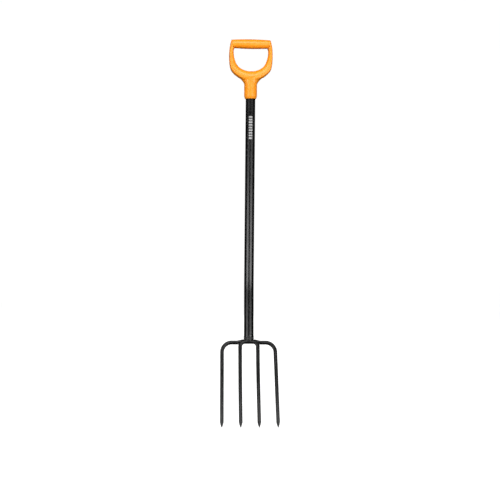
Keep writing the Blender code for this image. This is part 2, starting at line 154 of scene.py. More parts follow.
# Screw in the back of the collar
SCREW_Z = -131.0 * MM
SCREW_HEAD_RADIUS = 4.0 * MM
SCREW_SHANK_RADIUS = 1.9 * MM
SCREW_FACE_Y = 20.0 * MM
SCREW_CONE_Y = 17.4 * MM
SCREW_TIP_Y = 8.5 * MM
SCREW_TAPER = 2.0 * MM
THREAD_PITCH = 0.9 * MM
THREAD_DEPTH = 0.35 * MM
RECESS_RADIUS = 1.9 * MM
RECESS_DEPTH = 1.5 * MM
RECESS_LOBES = 6
RECESS_LOBE_SHARE = 0.17            # how deep the lobes are cut, over the radius

# Stem between the shaft and the rods
STEM_PLUG_RADIUS = TUBE_RADIUS - TUBE_WALL - GAP
STEM_PLUG_LENGTH = 42.0 * MM
STEM_COLLAR_RADIUS = 14.7 * MM
STEM_EDGE = 1.2 * MM
STEM_FOOT = 4.0 * MM                # the foot ends this far above the crossbar's centreline
STEM_VOXEL = 0.5 * MM
NECK_WELD_RADIUS = 16.6 * MM
NECK_WELD_HEIGHT = 3.3 * MM

# Head
CROSSBAR_Z = -918.0 * MM
ROOT_LEAN = math.radians(14.0)
TIP_LEAN = math.radians(22.5)
ROD_RADIUS = 6.3 * MM
TINE_ROOT_RADIUS = 6.0 * MM
TINE_END_RADIUS = 5.8 * MM
ROOT_FADE = 0.1                     # share of a tine over which the crossbar's radius fades out
POINT_LENGTH = 17.0 * MM
POINT_HALF_WIDTH = 0.7 * MM
POINT_FULLNESS = 0.8                # under 1, the points swell on their way to the rod
POINT_STEPS = 12
ROD_OFFSET = ROD_RADIUS + GAP / 2   # outer rod behind the middle surface, inner rod in front
ROD_OFFSET_FADE = 110.0 * MM        # distance over which all tines come into line
OUTER_ROOT_X = 83.5 * MM
OUTER_CORNER_RADIUS = 30.5 * MM
OUTER_RISE = 3.9 * MM               # the outer rod climbs over the inner one beside the stem
OUTER_RISE_FROM_X = 38.0 * MM
OUTER_RISE_TO_X = 16.0 * MM
OUTER_POINT_X = CAD_BOX[1].x - TINE_END_RADIUS
INNER_ROOT_X = 27.6 * MM
INNER_CORNER_RADIUS = 15.0 * MM
INNER_POINT_X = 28.6 * MM
ROD_STEP = 2.0 * MM
FORGING = 0.12 * MM                 # unevenness left by the hammer
FORGING_SIZE = 14 * MM

# Weld beads
UNDER_WELD_RADIUS = 1.4 * MM
UNDER_WELD_HALF_LENGTH = 10.5 * MM
UNDER_WELD_DROP = 2.2 * MM
UNDER_WELD_BACK = 1.5 * MM
UNDER_WELD_STEPS = 64
UNDER_WELD_WAVE = 0.07              # height of its ripples, over its radius
SIDE_WELD_HALF_SIZES = (8.2 * MM, 2.8 * MM, 3.4 * MM)
SIDE_WELD_DROP = 5.5 * MM
SIDE_WELD_BACK = 0.7 * MM
SIDE_WELD_REACH = 0.96              # share of its half length at which the bead is cut off
SIDE_WELD_STEPS = 33
SPATTER_HEIGHT = 0.25 * MM
SPATTER_SIZE = 1.6 * MM
BEAD_FOOT = 0.1 * MM                # least thickness of the neck bead
BEAD_STEPS = 17
BEAD_FULLNESS = 0.7                 # under 1, the bead's section is fuller than round
BEAD_RIPPLES = 34
BEAD_RIPPLE_SHARE = 0.30            # depth of the ripples, over the bead's height
BEAD_LUMP_SHARE = 0.30              # depth of the unevenness, over the bead's height
BEAD_LUMP_SCALE = 4
BEAD_CRESCENT = 1.2                 # how far the ripples curve back at the bead's edges
BEAD_WANDER = 2.0                   # how much the ripples' spacing varies
WELD_VOXEL = 0.4 * MM

# Facets
ROUND_SIDES = 96
SECTION_SIDES = 48
ROD_SIDES = 48
BEAD_SIDES = 3 * ROUND_SIDES
SMOOTH_ANGLE = math.radians(32.0)

# Printed mark on the front of the shaft: a ladder of plain bars
MARK_TOP_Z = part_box("handle_frame")[0].z - 53.1 * MM
MARK_LENGTH = 74.5 * MM
MARK_HALF_WIDTH = 5.5 * MM
MARK_BARS = 9
MARK_BAR_SHARE = 0.66

# Painted highlight on the rods: the paint turns greyer from here down to the points, standing in
# for a lamp's reflection on the lower tines
PAINTED_LIGHT_FROM_Z = -1005.0 * MM
PAINTED_LIGHT_FULL_Z = -1150.0 * MM

# Camera and studio
VIEW_AZIMUTH = math.radians(-4.5)
VIEW_ROLL = math.radians(0.505)
VIEW_DISTANCE = 4.5
VIEW_HEIGHT_Z = -0.630
VIEW_SIDE = 2.6 * MM                # the view's axis passes this far to the right of the shaft
VIEW_WIDTH = 1.567                  # width in view at the shaft
FLOOR_Z = CAD_BOX[0].z - 0.2 * MM
FLOOR_HALF_SIZE = 9.0
FLOOR_GREY = 0.3
FLOOR_ROUGHNESS = 0.9
FLOOR_GLOW = 0.94                   # the floor lights itself, so it stays plain and pale
ALL_ROUND_LIGHT = 0.015

# Lamps: azimuth from the camera in degrees, distance, height, size, radiance, height aimed at
KEY_LAMP = (0, 1.7, 0.95, (1.2, 0.8), 5.5, -0.35)
CEILING_PANEL = (0, 2.3, 1.7, (4.0, 0.9), 1.5, -1.1)
BACK_LAMP = (180, 7.0, 1.0, (1.6, 4.0), 2.0, VIEW_HEIGHT_Z)
FRONT_LAMP = (30, 4.0, 0.2, (1.6, 3.0), 6.0, VIEW_HEIGHT_Z)
STRIPE_PANEL = (40, 8.0, -1.12, (7.1, 1.76), 5.0, -1.12)
REAR_LAMP = (140, 4.0, 0.2, (3.0, 3.0), 2.6, VIEW_HEIGHT_Z)


# ---------------------------------------------------------------- mesh tools

def smooth_step(value):
    """0 to 1 with flat ends, for a value that runs from 0 to 1."""
    value = min(max(value, 0.0), 1.0)
    return value * value * (3.0 - 2.0 * value)


def spread(start, end, count):
    """Evenly spaced numbers from start to end."""
    return [start + (end - start) * index / (count - 1) for index in range(count)]


def stepped(start, end, longest):
    """Evenly spaced numbers from start to end, at most this far apart."""
    return spread(start, end, max(2, math.ceil(abs(end - start) / longest) + 1))


def through(rows, steps):
    """A Catmull-Rom curve through rows of numbers, with this many steps between neighbours."""
    rows = np.array(rows, float)
    padded = np.vstack([2 * rows[0] - rows[1], rows, 2 * rows[-1] - rows[-2]])
    curve = []
    for first in range(len(rows) - 1):
        a, b, c, d = padded[first:first + 4]
        for step in range(steps):
            t = step / steps
            curve.append(0.5 * (2 * b + (c - a) * t + (2 * a - 5 * b + 4 * c - d) * t ** 2
                                + (3 * b - 3 * c + d - a) * t ** 3))
    curve.append(rows[-1])
    return [[float(value) for value in row] for row in curve]


def superellipse(sides, exponent):
    """Unit points of a superellipse, counter-clockwise."""
    points = []
    for index in range(sides):
        angle = 2 * math.pi * index / sides
        cos, sin = math.cos(angle), math.sin(angle)
        points.append((math.copysign(abs(cos) ** (2 / exponent), cos),
                       math.copysign(abs(sin) ** (2 / exponent), sin)))
    return points


def circle(centre, side, back, radius, sides):
    """A ring of points in the plane of two directions; radius is a number or takes an angle."""
    ring = []
    for index in range(sides):
        angle = 2 * math.pi * index / sides
        reach = radius(angle) if callable(radius) else radius
        ring.append(centre + reach * (math.cos(angle) * side + math.sin(angle) * back))
    return ring


def bridge(bm, rings):
    """Quads between neighbouring rings of vertices."""
    for lower, upper in zip(rings, rings[1:]):
        for index in range(len(lower)):
            following = (index + 1) % len(lower)
            bm.faces.new((lower[index], lower[following], upper[following], upper[index]))


def piece_from(name, bm, finish=None):
    """A named object from a bmesh, faces pointing out and round sides smooth."""
    bmesh.ops.recalc_face_normals(bm, faces=bm.faces)
    mesh = bpy.data.meshes.new(name)
    bm.to_mesh(mesh)
    bm.free()
    mesh.shade_smooth()
    mesh.set_sharp_from_angle(angle=SMOOTH_ANGLE)
    if finish:
        mesh.materials.append(finish)
    made = bpy.data.objects.new(name, mesh)
    bpy.context.scene.collection.objects.link(made)
    return made


def loft(name, rings):
    """A closed solid through rings of points, with a flat face on each end ring."""
    bm = bmesh.new()
    loops = [[bm.verts.new(point) for point in ring] for ring in rings]
    bridge(bm, loops)
    bm.faces.new(loops[0])
    bm.faces.new(loops[-1])
    return piece_from(name, bm)


def closed_loop(name, rings):
    """A solid with a hole through it: the last of its rings is joined to the first."""
    bm = bmesh.new()
    loops = [[bm.verts.new(point) for point in ring] for ring in rings]
    bridge(bm, loops + [loops[0]])
    return piece_from(name, bm)


def bake(piece):
    """Replace a piece's mesh by what its modifiers make of it."""
    bpy.context.view_layer.update()
    graph = bpy.context.evaluated_depsgraph_get()
    mesh = bpy.data.meshes.new_from_object(piece.evaluated_get(graph), depsgraph=graph)
    piece.modifiers.clear()
    old = piece.data
    mesh.name = piece.name
    piece.data = mesh
    bpy.data.meshes.remove(old)


def combine(piece, *others, operation="DIFFERENCE"):
    """Boolean other solids into a piece and throw them away."""
    for other in others:
        modifier = piece.modifiers.new(other.name, "BOOLEAN")
        modifier.operation = operation
        modifier.object = other
    bake(piece)
    for other in others:
        bpy.data.objects.remove(other, do_unlink=True)


def copied(piece):
    """A loose copy of a solid, for cutting with."""
    made = piece.copy()
    made.data = piece.data.copy()
    bpy.context.scene.collection.objects.link(made)
    return made


def fuse(piece, voxel):
    """Turn a piece into one even skin, which rounds its edges by about a voxel."""
    modifier = piece.modifiers.new("fuse", "REMESH")
    modifier.mode = "VOXEL"
    modifier.voxel_size = voxel
    modifier.use_smooth_shade = True
    bake(piece)


def relax(piece, repeats, weight=None):
    """Smooth a mesh, everywhere or by a weight that is a function of place."""
    modifier = piece.modifiers.new("relax", "SMOOTH")
    modifier.factor = 0.5
    modifier.iterations = repeats
    if weight:
        group = piece.vertex_groups.new(name="relax")
        for vertex in piece.data.vertices:
            amount = weight(vertex.co)
            if amount > 0:
                group.add([vertex.index], amount, "REPLACE")
        modifier.vertex_group = group.name
    bake(piece)
    piece.vertex_groups.clear()


def roughen(piece, height, size, seed):
    """Push a mesh in and out along its normals by smooth noise of this height and size."""
    shift = Vector((seed, 2.0 * seed, 3.0 * seed))
    moved = [vertex.co + vertex.normal * height * noise.noise(vertex.co / size + shift)
             for vertex in piece.data.vertices]
    for vertex, place in zip(piece.data.vertices, moved):
        vertex.co = place
    piece.data.update()


def settle(piece, finish, slot, *nodes):
    """Give a finished piece its material and its place in the frame."""
    piece.data.materials.clear()
    piece.data.materials.append(finish)
    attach(piece, BODY)
    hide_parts(*nodes)


# ---------------------------------------------------------------- handle

def grip_end(z):
    """Half length of the grip sleeve at a height: its end faces lean and bulge outwards."""
    rise = z - GRIP_MID_Z
    bulge = GRIP_END_BULGE * (1 - (2 * rise / GRIP_END_THICKNESS) ** 2)
    return GRIP_HALF_SPAN + GRIP_END_SLOPE * rise + bulge


def grip_ring(place, half_height, half_depth, inset=0.0):
    """A section of the grip or its core. place runs from -1 to 1, from end face to end face."""
    ring = []
    for depth, height in superellipse(SECTION_SIDES, GRIP_EXPONENT):
        z = GRIP_MID_Z + half_height * height
        ring.append(Vector((place * (grip_end(z) - inset), half_depth * depth, z)))
    return ring


def make_grip():
    """The barrel-shaped sleeve around the core bar, with rounded end edges."""
    outer = []
    for place in spread(-GRIP_BARREL_SHARE, GRIP_BARREL_SHARE, GRIP_STEPS):
        fade = place * place
        half_height = (GRIP_THICKNESS * (1 - fade) + GRIP_END_THICKNESS * fade) / 2
        half_depth = (GRIP_DEPTH * (1 - fade) + GRIP_END_DEPTH * fade) / 2
        outer.append(grip_ring(place, half_height, half_depth))
    edge = []
    for angle in spread(0.0, math.pi / 2, EDGE_STEPS):
        inset = GRIP_EDGE * (1 - math.sin(angle))
        shrink = GRIP_EDGE * (1 - math.cos(angle))
        edge.append((inset, GRIP_END_THICKNESS / 2 - shrink, GRIP_END_DEPTH / 2 - shrink))
    left = [grip_ring(-1, height, depth, inset) for inset, height, depth in reversed(edge)]
    right = [grip_ring(1, height, depth, inset) for inset, height, depth in edge]
    inner = [grip_ring(place, CORE_HALF_HEIGHT + GAP, CORE_HALF_DEPTH + GAP)
             for place in (1, 0, -1)]
    return closed_loop("grip_moulding", left + outer + right + inner)


def grip_pocket():
    """The space between the arms that holds the grip sleeve."""
    heights = spread(POCKET_FLOOR_Z, GRIP_THICKNESS + POCKET_MARGIN, POCKET_STEPS)
    outline = [(grip_end(z) + GRIP_END_GAP, z) for z in heights]
    outline += [(-x, z) for x, z in reversed(outline)]
    return loft("grip_pocket", [[Vector((x, y, z)) for x, z in outline]
                                for y in (-GRIP_DEPTH, GRIP_DEPTH)])


def arm_ring(row, side):
    """One section of an arm, between its inner and outer outline points."""
    inner_x, inner_z, outer_x, outer_z, half_depth = (value * MM for value in row)
    inner = Vector((side * inner_x, 0.0, inner_z))
    outer = Vector((side * outer_x, 0.0, outer_z))
    middle, half = (inner + outer) / 2, (outer - inner) / 2
    ring = []
    for across, depth in superellipse(SECTION_SIDES, ARM_EXPONENT):
        across += ARM_RIDGE * (1 - across * across)
        ring.append(middle + half * across + Vector((0.0, half_depth * depth, 0.0)))
    return ring


def make_handle():
    """Arms, saddle, collar and core bar as one moulding, with soft edges and a soft fillet."""
    rows = through(ARM_SECTIONS, 6)
    rings = [arm_ring(row, -1) for row in rows[:-1]]
    rings.append(arm_ring(rows[-1], 1))
    rings += [arm_ring(row, 1) for row in reversed(rows[:-1])]
    handle = loft("handle_moulding", rings)
    combine(handle, grip_pocket())

    core = loft("core_bar", [grip_ring(place, CORE_HALF_HEIGHT, CORE_HALF_DEPTH)
                             for place in (-CORE_REACH, CORE_REACH)])
    collar = loft("collar", [circle(Vector((0, 0, z * MM)), Vector((half_width * MM, 0, 0)),
                                    Vector((0, half_depth * MM, 0)), 1.0, ROUND_SIDES)
                             for z, half_width, half_depth in through(COLLAR_SECTIONS, 4)])
    combine(handle, core, collar, operation="UNION")
    mouth_z = COLLAR_SECTIONS[0][0] * MM - CUT_MARGIN
    bore = loft("bore", [circle(Vector((0, 0, z)), Vector((1, 0, 0)), Vector((0, 1, 0)),
                                SLEEVE_RADIUS + GAP, ROUND_SIDES)
                         for z in (mouth_z, SOCKET_TOP_Z)])
    combine(handle, bore, make_screw_space())
    fuse(handle, HANDLE_VOXEL)
    relax(handle, 3)
    relax(handle, FILLET_REPEATS, fillet_weight)
    return handle


def fillet_weight(place):
    """How strongly the handle is smoothed: only on the outside, where collar meets saddle."""
    radius = math.hypot(place.x, place.y)
    inside = smooth_step((radius - SLEEVE_RADIUS - FILLET_SKIN) / FILLET_SKIN)
    near = FILLET_FULL - abs(place.z - FILLET_Z) / FILLET_REACH * FILLET_FULL
    return inside * smooth_step(near)


# ---------------------------------------------------------------- screw

def screw_circle(y, radius):
    """A ring around the screw's axis."""
    return circle(Vector((0, y, SCREW_Z)), Vector((1, 0, 0)), Vector((0, 0, 1)), radius,
                  SECTION_SIDES)


def make_screw_space():
    """The countersunk hole that the screw sits in."""
    profile = [
        (SCREW_FACE_Y + CUT_MARGIN, SCREW_HEAD_RADIUS + GAP),
        (SCREW_FACE_Y, SCREW_HEAD_RADIUS + GAP),
        (SCREW_CONE_Y - GAP, SCREW_SHANK_RADIUS + GAP),
        (SCREW_TIP_Y - GAP, SCREW_SHANK_RADIUS + GAP),
    ]
    return loft("screw_space", [screw_circle(y, radius) for y, radius in profile])


def make_screw():
    """A countersunk screw with a six-lobed recess and a rolled thread."""
    profile = [
        (SCREW_FACE_Y, SCREW_HEAD_RADIUS - SMALL_EDGE),
        (SCREW_FACE_Y - SMALL_EDGE, SCREW_HEAD_RADIUS),
        (SCREW_FACE_Y - 2 * SMALL_EDGE, SCREW_HEAD_RADIUS - SMALL_EDGE / 2),
        (SCREW_CONE_Y, SCREW_SHANK_RADIUS),
    ]
    y = SCREW_CONE_Y - THREAD_PITCH
    while y > SCREW_TIP_Y + SCREW_TAPER:
        profile.append((y, SCREW_SHANK_RADIUS - THREAD_DEPTH))
        profile.append((y - THREAD_PITCH / 2, SCREW_SHANK_RADIUS))
        y -= THREAD_PITCH
    profile.append((SCREW_TIP_Y, SCREW_SHANK_RADIUS / 3))
    screw = loft("fixing_screw", [screw_circle(y, radius) for y, radius in profile])

    def lobes(angle):
        return RECESS_RADIUS * (1 - RECESS_LOBE_SHARE * (1 - math.cos(RECESS_LOBES * angle)) / 2)

    recess = loft("recess", [screw_circle(SCREW_FACE_Y - RECESS_DEPTH, lobes),
                             screw_circle(SCREW_FACE_Y + MM, lobes)])
    combine(screw, recess)
    screw.data.shade_smooth()
    screw.data.set_sharp_from_angle(angle=SMOOTH_ANGLE)
    return screw


# ---------------------------------------------------------------- shaft

def shaft_station(z):
    """The shaft's centre and its backward direction at a height on its centreline."""
    tangent_length = BEND_RADIUS * math.tan(BEND_ANGLE / 2)
    arc_top = BEND_Z + tangent_length
    arc_bottom = arc_top - BEND_RADIUS * math.sin(BEND_ANGLE)
    if z >= arc_top:
        lean, y = 0.0, 0.0
    elif z > arc_bottom:
        lean = math.asin((arc_top - z) / BEND_RADIUS)
        y = -BEND_RADIUS * (1 - math.cos(lean))
    else:
        lean = BEND_ANGLE
        y = -BEND_RADIUS * (1 - math.cos(lean)) - (arc_bottom - z) * math.tan(lean)
    return Vector((0, y, z)), Vector((0, math.cos(lean), -math.sin(lean)))


def shaft_ring(z, radius, sides=ROUND_SIDES):
    """A ring square to the shaft at this height."""
    centre, back = shaft_station(z)
    return circle(centre, Vector((1, 0, 0)), back, radius, sides)


def shaft_heights(top, bottom):
    """Heights along the shaft, closer together in the bend."""
    tangent_length = BEND_RADIUS * math.tan(BEND_ANGLE / 2)
    bend_top, bend_bottom = BEND_Z + tangent_length, BEND_Z - tangent_length
    heights = stepped(top, bend_top, STRAIGHT_STEP)
    heights += stepped(bend_top, bend_bottom, BEND_STEP)[1:]
    heights += stepped(bend_bottom, bottom, STRAIGHT_STEP)[1:]
    return heights


def make_sleeve():
    """The plastic sleeve over the whole shaft, open at both ends and drilled for the screw."""
    edge = SMALL_EDGE
    heights = shaft_heights(SHAFT_TOP_Z - edge, SLEEVE_END_Z + edge)
    inside = SLEEVE_RADIUS - SLEEVE_WALL
    rings = [shaft_ring(SHAFT_TOP_Z, SLEEVE_RADIUS - edge)]
    rings += [shaft_ring(z, SLEEVE_RADIUS) for z in heights]
    rings += [shaft_ring(SLEEVE_END_Z, SLEEVE_RADIUS - edge), shaft_ring(SLEEVE_END_Z, inside)]
    rings += [shaft_ring(z, inside) for z in reversed(heights)]
    rings += [shaft_ring(SHAFT_TOP_Z, inside)]
    sleeve = closed_loop("plastic_sleeve", rings)
    combine(sleeve, make_screw_space())
    sleeve.data.shade_smooth()
    sleeve.data.set_sharp_from_angle(angle=SMOOTH_ANGLE)
    return sleeve


def make_end_ring():
    """The ring that closes the sleeve, with well rounded edges."""
    top, bottom = SLEEVE_END_Z - GAP, SHAFT_END_Z
    rings = []
    for angle in spread(0.0, math.pi / 2, EDGE_STEPS):
        rings.append(shaft_ring(top - END_RING_EDGE * (1 - math.sin(math.pi / 2 - angle)),
                                END_RING_RADIUS - END_RING_EDGE * (1 - math.sin(angle))))
    for angle in spread(math.pi / 2, 0.0, EDGE_STEPS):
        rings.append(shaft_ring(bottom + END_RING_EDGE * (1 - math.sin(math.pi / 2 - angle)),
                                END_RING_RADIUS - END_RING_EDGE * (1 - math.sin(angle))))
    inside = TUBE_RADIUS + GAP
    rings += [shaft_ring(bottom, inside), shaft_ring(top, inside)]
    return closed_loop("end_ring", rings)


# ---------------------------------------------------------------- head

def head_length():
    """Distance along the curved surface from the crossbar's centreline to the tips."""
    drop = CROSSBAR_Z - (GRIP_THICKNESS - OVERALL_LENGTH)
    return drop * (TIP_LEAN - ROOT_LEAN) / (math.sin(TIP_LEAN) - math.sin(ROOT_LEAN))


def head_point(x, down, back):
    """A point from its place across the head, down its surface, and behind that surface."""
    bend = (TIP_LEAN - ROOT_LEAN) / head_length()
    lean = ROOT_LEAN + bend * down
    root = shaft_station(CROSSBAR_Z)[0]
    y = root.y - (math.cos(ROOT_LEAN) - math.cos(lean)) / bend + back * math.cos(lean)
    z = root.z - (math.sin(lean) - math.sin(ROOT_LEAN)) / bend - back * math.sin(lean)
    return Vector((x, y, z))


def rod_radius(down):
    """Radius of a rod or tine at a distance down the head."""
    along = min(max(down, 0.0) / (head_length() - POINT_LENGTH), 1.0)
    if along < ROOT_FADE:
        return ROD_RADIUS + (TINE_ROOT_RADIUS - ROD_RADIUS) * along / ROOT_FADE
    share = (along - ROOT_FADE) / (1 - ROOT_FADE)
    return TINE_ROOT_RADIUS + (TINE_END_RADIUS - TINE_ROOT_RADIUS) * share


def half_rod(root_x, point_x, corner_radius, offset, rise):
    """Stations of a rod from mid crossbar to one tip: x, distance down, and distance behind."""
    length = head_length()
    shoulder = length - POINT_LENGTH
    flat_end = root_x - corner_radius
    stations = []
    for x in stepped(0.0, flat_end, ROD_STEP)[:-1]:
        climb = (OUTER_RISE_FROM_X - x) / (OUTER_RISE_FROM_X - OUTER_RISE_TO_X)
        stations.append((x, -rise * smooth_step(climb), offset))
    for angle in stepped(0.0, math.pi / 2, ROD_STEP / corner_radius):
        x = flat_end + corner_radius * math.sin(angle)
        down = corner_radius * (1 - math.cos(angle))
        stations.append((x, down, offset * (1 - smooth_step(down / ROD_OFFSET_FADE))))
    tine = stepped(corner_radius, shoulder, ROD_STEP)[1:]
    tine += stepped(shoulder, length, POINT_LENGTH / POINT_STEPS)[1:]
    for down in tine:
        along = (down - corner_radius) / (shoulder - corner_radius)
        x = root_x + (point_x - root_x) * along
        stations.append((x, down, offset * (1 - smooth_step(down / ROD_OFFSET_FADE))))
    return stations


def rod_rings(half, extra):
    """Rings along a whole rod, round except for its four-sided points."""
    stations = [(-x, down, back) for x, down, back in reversed(half[1:])] + half
    points = [head_point(*station) for station in stations]
    length = head_length()
    rings = []
    for index, (_, down, back) in enumerate(stations):
        before, after = points[max(index - 1, 0)], points[min(index + 1, len(points) - 1)]
        along = (after - before).normalized()
        outward = head_point(0, down, back + 1.0) - head_point(0, down, back)
        side = along.cross(outward).normalized()
        back_way = side.cross(along)
        round_radius = rod_radius(down) + extra
        to_tip = (length - down) / POINT_LENGTH
        swell = max(to_tip, 0.0) ** POINT_FULLNESS
        square = POINT_HALF_WIDTH + extra + (round_radius - POINT_HALF_WIDTH - extra) * swell

        def reach(angle):
            flat = square / max(abs(math.cos(angle)), abs(math.sin(angle)))
            return round_radius if to_tip >= 1 else min(round_radius, flat)

        rings.append(circle(points[index], side, back_way, reach, ROD_SIDES))
    return rings


def make_stem(rod_spaces):
    """The plug in the tube, its collar, and the saddle that its foot makes over both rods."""
    top = SHAFT_END_Z + STEM_PLUG_LENGTH
    neck = SHAFT_END_Z - GAP
    profile = [
        (top, STEM_PLUG_RADIUS - STEM_EDGE),
        (top - STEM_EDGE, STEM_PLUG_RADIUS),
        (neck, STEM_PLUG_RADIUS),
        (neck - SMALL_EDGE / 2, STEM_COLLAR_RADIUS),
        (CROSSBAR_Z + STEM_FOOT, STEM_COLLAR_RADIUS),
    ]
    stem = loft("forged_stem", [shaft_ring(z, radius) for z, radius in profile])
    combine(stem, *[copied(space) for space in rod_spaces])
    fuse(stem, STEM_VOXEL)
    relax(stem, 2)
    return stem


def make_neck_bead():
    """The weld bead around the stem's collar, laid in overlapping crescents of uneven size."""
    top = SHAFT_END_Z - 2 * GAP
    bottom = top - NECK_WELD_HEIGHT
    inside = STEM_COLLAR_RADIUS + GAP
    crown = NECK_WELD_RADIUS - inside - BEAD_FOOT
    rings = []
    for angle_up in spread(math.pi / 2, -math.pi / 2, BEAD_STEPS):
        z = (top + bottom) / 2 + NECK_WELD_HEIGHT / 2 * math.sin(angle_up)
        bulge = crown * math.cos(angle_up) ** BEAD_FULLNESS

        def ripple(angle, bulge=bulge, angle_up=angle_up):
            lump = noise.noise(Vector((BEAD_LUMP_SCALE * math.cos(angle),
                                       BEAD_LUMP_SCALE * math.sin(angle), angle_up / 2)))
            phase = BEAD_RIPPLES * angle / 2 - BEAD_CRESCENT * angle_up ** 2 + BEAD_WANDER * lump
            share = 1 - BEAD_RIPPLE_SHARE * (1 - abs(math.sin(phase)))
            share = share - BEAD_LUMP_SHARE * (0.5 - lump)
            return inside + BEAD_FOOT + bulge * share

        rings.append(shaft_ring(z, ripple, BEAD_SIDES))
    rings += [shaft_ring(bottom, inside, BEAD_SIDES), shaft_ring(top, inside, BEAD_SIDES)]
    return closed_loop("neck_bead", rings)


def make_under_bead():
    """The bead in the groove under the two rods, below the stem."""
    rings = []
    for place in spread(-1.0, 1.0, UNDER_WELD_STEPS):
        taper = (1 - abs(place) ** 6) ** 0.5 * 0.45 + 0.55
        size = taper - 0.5 * smooth_step(abs(place) * 40 - 39)
        wave = 1 + UNDER_WELD_WAVE * math.sin(place * 34) - UNDER_WELD_WAVE
        x = UNDER_WELD_HALF_LENGTH * place
        centre = head_point(x, UNDER_WELD_DROP, UNDER_WELD_BACK)
        back = head_point(x, UNDER_WELD_DROP, 1.0) - head_point(x, UNDER_WELD_DROP, 0.0)
        back = back.normalized()
        rings.append(circle(centre, back, Vector((1, 0, 0)).cross(back),
                            UNDER_WELD_RADIUS * size * wave, SECTION_SIDES // 2))
    return loft("under_bead", rings)


def make_side_bead(name, side, rod_spaces):
    """The bead where an inner tine leaves the crossbar, hollowed by both rods."""
    half_x, half_down, half_back = SIDE_WELD_HALF_SIZES
    rings = []
    for place in spread(-SIDE_WELD_REACH, SIDE_WELD_REACH, SIDE_WELD_STEPS):
        size = math.sqrt(1 - place * place)
        ring = []
        for step in range(SECTION_SIDES):
            angle = 2 * math.pi * step / SECTION_SIDES
            ring.append(head_point(side * INNER_ROOT_X + half_x * place,
                                   SIDE_WELD_DROP + half_down * size * math.cos(angle),
                                   SIDE_WELD_BACK + half_back * size * math.sin(angle)))
        rings.append(ring)
    bead = loft(name, rings)
    combine(bead, *[copied(space) for space in rod_spaces])
    fuse(bead, WELD_VOXEL)
    relax(bead, 2)
    roughen(bead, SPATTER_HEIGHT, SPATTER_SIZE, 4.0 + side)
    return bead


# ---------------------------------------------------------------- material tools

def add(tree, kind, inputs=None, **settings):
    """A shader node with its settings, and its sockets set to values or linked to other sockets."""
    made = tree.nodes.new(kind)
    for name, value in settings.items():
        setattr(made, name, value)
    for name, value in (inputs or {}).items():
        if isinstance(value, bpy.types.NodeSocket):
            tree.links.new(value, made.inputs[name])
        else:
            made.inputs[name].default_value = value
    return made


def maths(tree, operation, *values):
    """The result of a Math node on numbers or sockets."""
    made = add(tree, "ShaderNodeMath", dict(enumerate(values)), operation=operation)
    return made.outputs[0]


def noise_of(tree, place, scale, detail=2.0, roughness=0.5, distortion=0.0):
    """A noise pattern from 0 to 1; scale is repeats per metre of the place vector."""
    made = add(tree, "ShaderNodeTexNoise", {"Vector": place, "Scale": scale, "Detail": detail,
                                            "Roughness": roughness, "Distortion": distortion})
    return made.outputs["Fac"]


def ranged(tree, value, low, high, to_low=0.0, to_high=1.0):
    """A value moved smoothly from one range to another."""
    made = add(tree, "ShaderNodeMapRange", {"Value": value, "From Min": low, "From Max": high,
                                            "To Min": to_low, "To Max": to_high},
               interpolation_type="SMOOTHSTEP")
    return made.outputs["Result"]


def mixed(tree, share, first, second):
    """A colour between two colours."""
    made = add(tree, "ShaderNodeMix", data_type="RGBA")
    for socket, value in (("Factor_Float", share), ("A_Color", first), ("B_Color", second)):
        target = next(item for item in made.inputs if item.identifier == socket)
        if isinstance(value, bpy.types.NodeSocket):
            tree.links.new(value, target)
        else:
            target.default_value = value
    return next(item for item in made.outputs if item.identifier == "Result_Color")


def stretched(tree, place, stretch):
    """The place vector scaled along its axes, for streaks and brushing."""
    made = add(tree, "ShaderNodeVectorMath", {0: place, 1: stretch}, operation="MULTIPLY")
    return made.outputs[0]


def bumped(tree, height, distance, normal=None):
    """A normal from a height pattern, whose full range is this many metres."""
    inputs = {"Height": height, "Distance": distance, "Strength": 1.0}
    if normal:
        inputs["Normal"] = normal
    return add(tree, "ShaderNodeBump", inputs).outputs["Normal"]


def new_material(name, metallic=0.0, ior=1.5):
    """A material with an object-space place vector, ready for its patterns."""
    made = bpy.data.materials.new(name)
    made.use_nodes = True
    tree = made.node_tree
    shader = tree.nodes["Principled BSDF"]
    shader.inputs["Metallic"].default_value = metallic
    shader.inputs["IOR"].default_value = ior
    place = add(tree, "ShaderNodeTexCoord").outputs["Object"]
    return made, tree, shader, place


def connect(tree, shader, colour, roughness, normal):
    """Link the finished patterns to the shader."""
    tree.links.new(colour, shader.inputs["Base Color"])
    tree.links.new(roughness, shader.inputs["Roughness"])
    tree.links.new(normal, shader.inputs["Normal"])


# ---------------------------------------------------------------- materials

